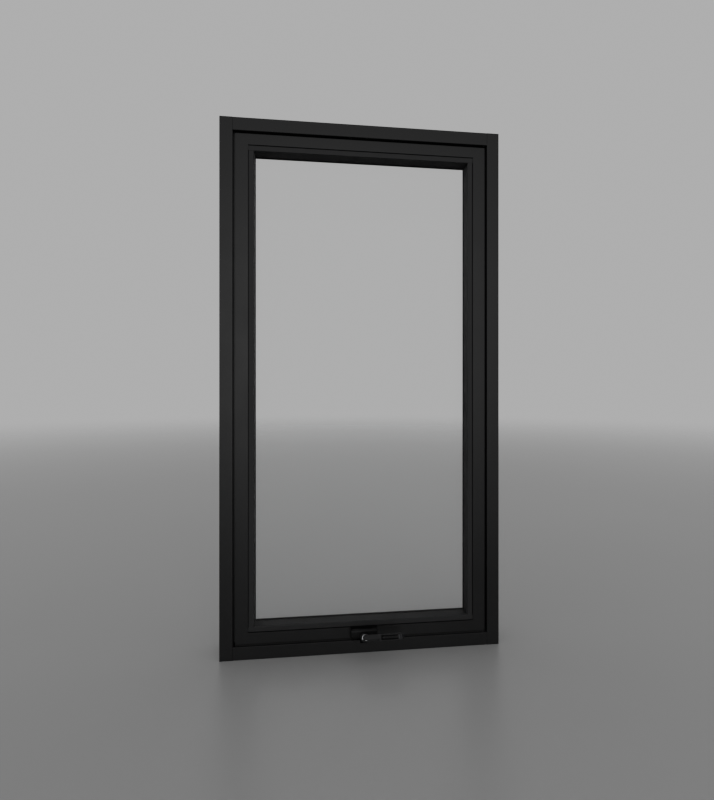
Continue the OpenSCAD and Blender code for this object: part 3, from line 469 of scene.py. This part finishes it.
class WINDOW_OT_crank_arm(Operator):
    """Model the crank arm with soft edges, its nest for the knob and its bore"""
    bl_idname = "window.crank_arm"
    bl_label = "Crank arm"

    def execute(self, context):
        sizes = context.scene.window_sizes
        length, width, thickness = arm_sizes()
        half_w, half_t = width / 2, thickness / 2
        arm = add_box("crank_lever", (-half_w, -half_w, -half_t), (length - half_w, half_w, half_t))
        bevel_edges(arm, lambda a, b: abs(a.z - b.z) > half_t, half_w * 0.98, 12)
        round_off(arm, sizes.crank_edge, 5)
        knob_low, knob_high = (Vector(c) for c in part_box("crank_knob"))
        self.fall_away(arm, knob_low.x, half_w, half_t)
        knob_r = (knob_high.y - knob_low.y) / 2
        inverse = shaft_matrix().inverted()
        knob_mid = inverse @ ((knob_low + knob_high) / 2)
        room = knob_r + 0.0003
        end_room = 0.002
        nest = add_box("nest", (knob_low.x - end_room, -room, knob_mid.z - room),
                       (length, room, thickness))
        combine(arm, nest, "DIFFERENCE")
        shaft_r = 0.004
        bore_floor = 0.002
        bore = add_cylinder("bore", shaft_r, -thickness, half_t - bore_floor)
        combine(arm, bore, "DIFFERENCE")
        make_active(arm)
        bpy.ops.object.shade_smooth_by_angle(angle=math.radians(30))
        place(arm, shaft_matrix())
        coat = powder_coat("crank_coat", context.scene.window_finishes.bead, 3200.0, 0.72, 0.22)
        arm.data.materials.clear()
        arm.data.materials.append(coat)
        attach(arm, "crank")
        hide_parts("crank_arm")
        return {"FINISHED"}

    @staticmethod
    def fall_away(arm, knob_start, half_w, half_t):
        """Cuts the lower front edge of the arm's root back at a slant."""
        slant = 0.005
        half = 0.006
        past_end = 0.002
        wedge = add_box("slant", (-half_w - past_end, -half, -half), (knob_start - half, half, half))
        middle = Vector((0, -half_w + slant / 2, half_t - slant / 2))
        outwards = Vector((0, -1, 1)).normalized()
        turn = Matrix.Rotation(math.radians(45), 4, "X")
        place(wedge, Matrix.Translation(middle + outwards * half) @ turn)
        combine(arm, wedge, "DIFFERENCE")


class WINDOW_OT_knob(Operator):
    """Turn the folding knob with shallow grip grooves"""
    bl_idname = "window.knob"
    bl_label = "Knob"

    def execute(self, context):
        low, high = (Vector(corner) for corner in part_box("crank_knob"))
        radius = (high.y - low.y) / 2
        length = high.x - low.x
        knob = add_cylinder("crank_knob_grip", radius, 0, length, 40)
        groove_w = 0.0009
        waist = 0.93
        end_round = 0.0010
        grooves = [length * (0.2 + 0.1 * i) for i in range(7)]
        make_active(knob)
        for middle in grooves:
            for edge in (middle - groove_w / 2, middle, middle + groove_w / 2):
                bpy.ops.object.mode_set(mode="EDIT")
                bpy.ops.mesh.select_all(action="SELECT")
                bpy.ops.mesh.bisect(plane_co=(0, 0, edge), plane_no=(0, 0, 1))
                bpy.ops.object.mode_set(mode="OBJECT")
        for vertex in knob.data.vertices:
            if any(abs(vertex.co.z - middle) < NEAR for middle in grooves):
                vertex.co.x *= waist
                vertex.co.y *= waist
        bevel_edges(knob, lambda a, b: abs(a.z - b.z) < SAME and (a.z < SAME or a.z > length - SAME),
                    end_round, 4)
        make_active(knob)
        bpy.ops.object.shade_smooth_by_angle(angle=math.radians(40))
        turn = Matrix.Rotation(math.radians(-90), 4, "Y")
        centre = (low + high) / 2
        place(knob, Matrix.Translation(Vector((high.x, centre.y, centre.z))) @ turn)
        plastic = moulded_plastic("knob_plastic", context.scene.window_finishes.plastic)
        knob.data.materials.clear()
        knob.data.materials.append(plastic)
        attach(knob, "knob")
        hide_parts("crank_knob")
        return {"FINISHED"}


class WINDOW_OT_cover(Operator):
    """Mould the operator's cover with round corners, a hollow back and a collar for the nut"""
    bl_idname = "window.cover"
    bl_label = "Operator cover"

    def execute(self, context):
        sizes = context.scene.window_sizes
        low, high = (Vector(corner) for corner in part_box("operator_cover"))
        face_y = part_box("frame_sill")[0][1]
        front = face_y - sizes.cover_proud
        top = sizes.cover_low + sizes.cover_height
        cover = add_box("operator_cover_shell", (low.x, front, sizes.cover_low), (high.x, high.y, top))
        in_front = front + NEAR
        above, below = top - NEAR, sizes.cover_low + NEAR
        bevel_edges(cover, lambda a, b: max(a.y, b.y) < in_front and min(a.z, b.z) > above, 0.0052, 8)
        bevel_edges(cover, lambda a, b: max(a.y, b.y) < in_front and max(a.z, b.z) < below, 0.0058, 5)
        self.hollow(cover, high.y, sizes.cover_wall)
        round_off(cover, 0.0012, 4, 40)
        nut_low, nut_high = (Vector(corner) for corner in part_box("nose_nut"))
        nut_mid = shaft_matrix().inverted() @ ((nut_low + nut_high) / 2)
        nut_half = 0.0012
        nut_r = 0.0092
        collar_l = 0.0085
        collar_end = nut_mid.z - nut_half
        collar = add_cylinder("collar", nut_r, collar_end - collar_l, collar_end, 64)
        place(collar, shaft_matrix())
        combine(cover, collar, "UNION")
        nose_r = 0.00752
        bore_l = 0.04
        bore = add_cylinder("bore", nose_r, collar_end - bore_l, collar_end + 0.001, 64)
        place(bore, shaft_matrix())
        combine(cover, bore, "DIFFERENCE")
        make_active(cover)
        bpy.ops.object.shade_smooth_by_angle(angle=math.radians(35))
        plastic = moulded_plastic("cover_plastic", context.scene.window_finishes.plastic)
        cover.data.materials.clear()
        cover.data.materials.append(plastic)
        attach(cover, "frame")
        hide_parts("operator_cover")
        return {"FINISHED"}

    @staticmethod
    def hollow(cover, back, wall):
        """Insets the back face and pushes it in, so that the cover is a shell."""
        make_active(cover)
        bpy.ops.object.mode_set(mode="EDIT")
        bpy.ops.mesh.select_mode(type="FACE")
        bpy.ops.mesh.select_all(action="DESELECT")
        bpy.ops.object.mode_set(mode="OBJECT")
        for face in cover.data.polygons:
            face.select = face.center.y > back - NEAR
        bpy.ops.object.mode_set(mode="EDIT")
        bpy.ops.mesh.inset(thickness=wall)
        hollow_d = 0.0065
        bpy.ops.mesh.extrude_region_move(TRANSFORM_OT_translate={"value": (0, -hollow_d, 0)})
        bpy.ops.object.mode_set(mode="OBJECT")


class WINDOW_OT_stage(Operator):
    """Set the pale floor, the soft light and the camera"""
    bl_idname = "window.stage"
    bl_label = "Stage"

    def execute(self, context):
        self.floor(context.scene.window_finishes.floor)
        self.lights(context)
        self.camera(context)
        return {"FINISHED"}

    @staticmethod
    def floor(color):
        """A round pale floor that fades out into the light around it."""
        clear_selection()
        bpy.ops.mesh.primitive_circle_add(vertices=96, radius=14.0, fill_type="NGON", location=(0, 0, 0))
        ground = bpy.context.object
        ground.name = "studio_floor"
        material, tree, shader, place_node = new_material("pale_floor", color)
        clouds = noise(tree, place_node, 0.8, 3.0, 0.5)
        tree.links.new(tint(tree, clouds.outputs["Fac"], scaled(color, 0.98), scaled(color, 1.02)),
                       shader.inputs["Base Color"])
        shader.inputs["Roughness"].default_value = 0.32
        reach = tree.nodes.new("ShaderNodeVectorMath")
        reach.operation = "LENGTH"
        tree.links.new(place_node.outputs["Object"], reach.inputs[0])
        fade = remap(tree, reach.outputs["Value"], 1.0, 0.0, 1.0, 11.0)
        fade.node.interpolation_type = "SMOOTHERSTEP"
        clear = tree.nodes.new("ShaderNodeBsdfTransparent")
        mix = tree.nodes.new("ShaderNodeMixShader")
        tree.links.new(fade, mix.inputs["Fac"])
        tree.links.new(clear.outputs["BSDF"], mix.inputs[1])
        tree.links.new(shader.outputs["BSDF"], mix.inputs[2])
        tree.links.new(mix.outputs["Shader"], tree.nodes["Material Output"].inputs["Surface"])
        ground.data.materials.append(material)

    @staticmethod
    def lights(context):
        world = bpy.data.worlds.new("soft_room")
        context.scene.world = world
        world.use_nodes = True
        background = world.node_tree.nodes["Background"]
        background.inputs["Color"].default_value = (1, 1, 1, 1)
        background.inputs["Strength"].default_value = 0.56
        data = bpy.data.lights.new("key", "AREA")
        data.energy = 75
        data.size = 3.0
        lamp = bpy.data.objects.new("key", data)
        context.collection.objects.link(lamp)
        lamp.location = (0.10, -4.0, 1.05)
        lamp.visible_camera = False
        aim = Vector((0, 0, 0.7)) - lamp.location
        lamp.rotation_euler = aim.to_track_quat("-Z", "Y").to_euler()

    @staticmethod
    def camera(context):
        """A level camera at the window's mid-height, a little to its left and turned to the right."""
        data = bpy.data.cameras.new("room_camera")
        data.sensor_width = 36.0
        data.lens = 19.53
        data.shift_y = -0.011
        camera = bpy.data.objects.new("room_camera", data)
        context.collection.objects.link(camera)
        face_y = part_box("frame_sill")[0][1]
        camera.location = (-0.1198, face_y - 0.980, 0.5945)
        camera.rotation_euler = (math.radians(90), 0, math.radians(-6.08))
        context.scene.camera = camera


class WINDOW_PT_panel(Panel):
    """Sizes, finishes and steps of the window"""
    bl_label = "Crank window"
    bl_idname = "WINDOW_PT_panel"
    bl_space_type = "VIEW_3D"
    bl_region_type = "UI"
    bl_category = "Window"

    def draw(self, context):
        for group in (context.scene.window_sizes, context.scene.window_finishes):
            for name in group.bl_rna.properties.keys():
                if name not in ("rna_type", "name"):
                    self.layout.prop(group, name)
        for step in STEPS:
            self.layout.operator(step.bl_idname)


STEPS = (WINDOW_OT_profiles, WINDOW_OT_seals, WINDOW_OT_glass, WINDOW_OT_hardware,
         WINDOW_OT_crank_arm, WINDOW_OT_knob, WINDOW_OT_cover, WINDOW_OT_stage)
CLASSES = (WindowSizes, WindowFinishes, *STEPS, WINDOW_PT_panel)


def register():
    for item in CLASSES:
        bpy.utils.register_class(item)
    bpy.types.Scene.window_sizes = PointerProperty(type=WindowSizes)
    bpy.types.Scene.window_finishes = PointerProperty(type=WindowFinishes)


def unregister():
    del bpy.types.Scene.window_finishes
    del bpy.types.Scene.window_sizes
    for item in reversed(CLASSES):
        bpy.utils.unregister_class(item)


def main():
    register()
    bpy.ops.window.profiles()
    bpy.ops.window.seals()
    bpy.ops.window.glass()
    bpy.ops.window.hardware()
    bpy.ops.window.crank_arm()
    bpy.ops.window.knob()
    bpy.ops.window.cover()
    bpy.ops.window.stage()


if __name__ == "__main__":
    main()
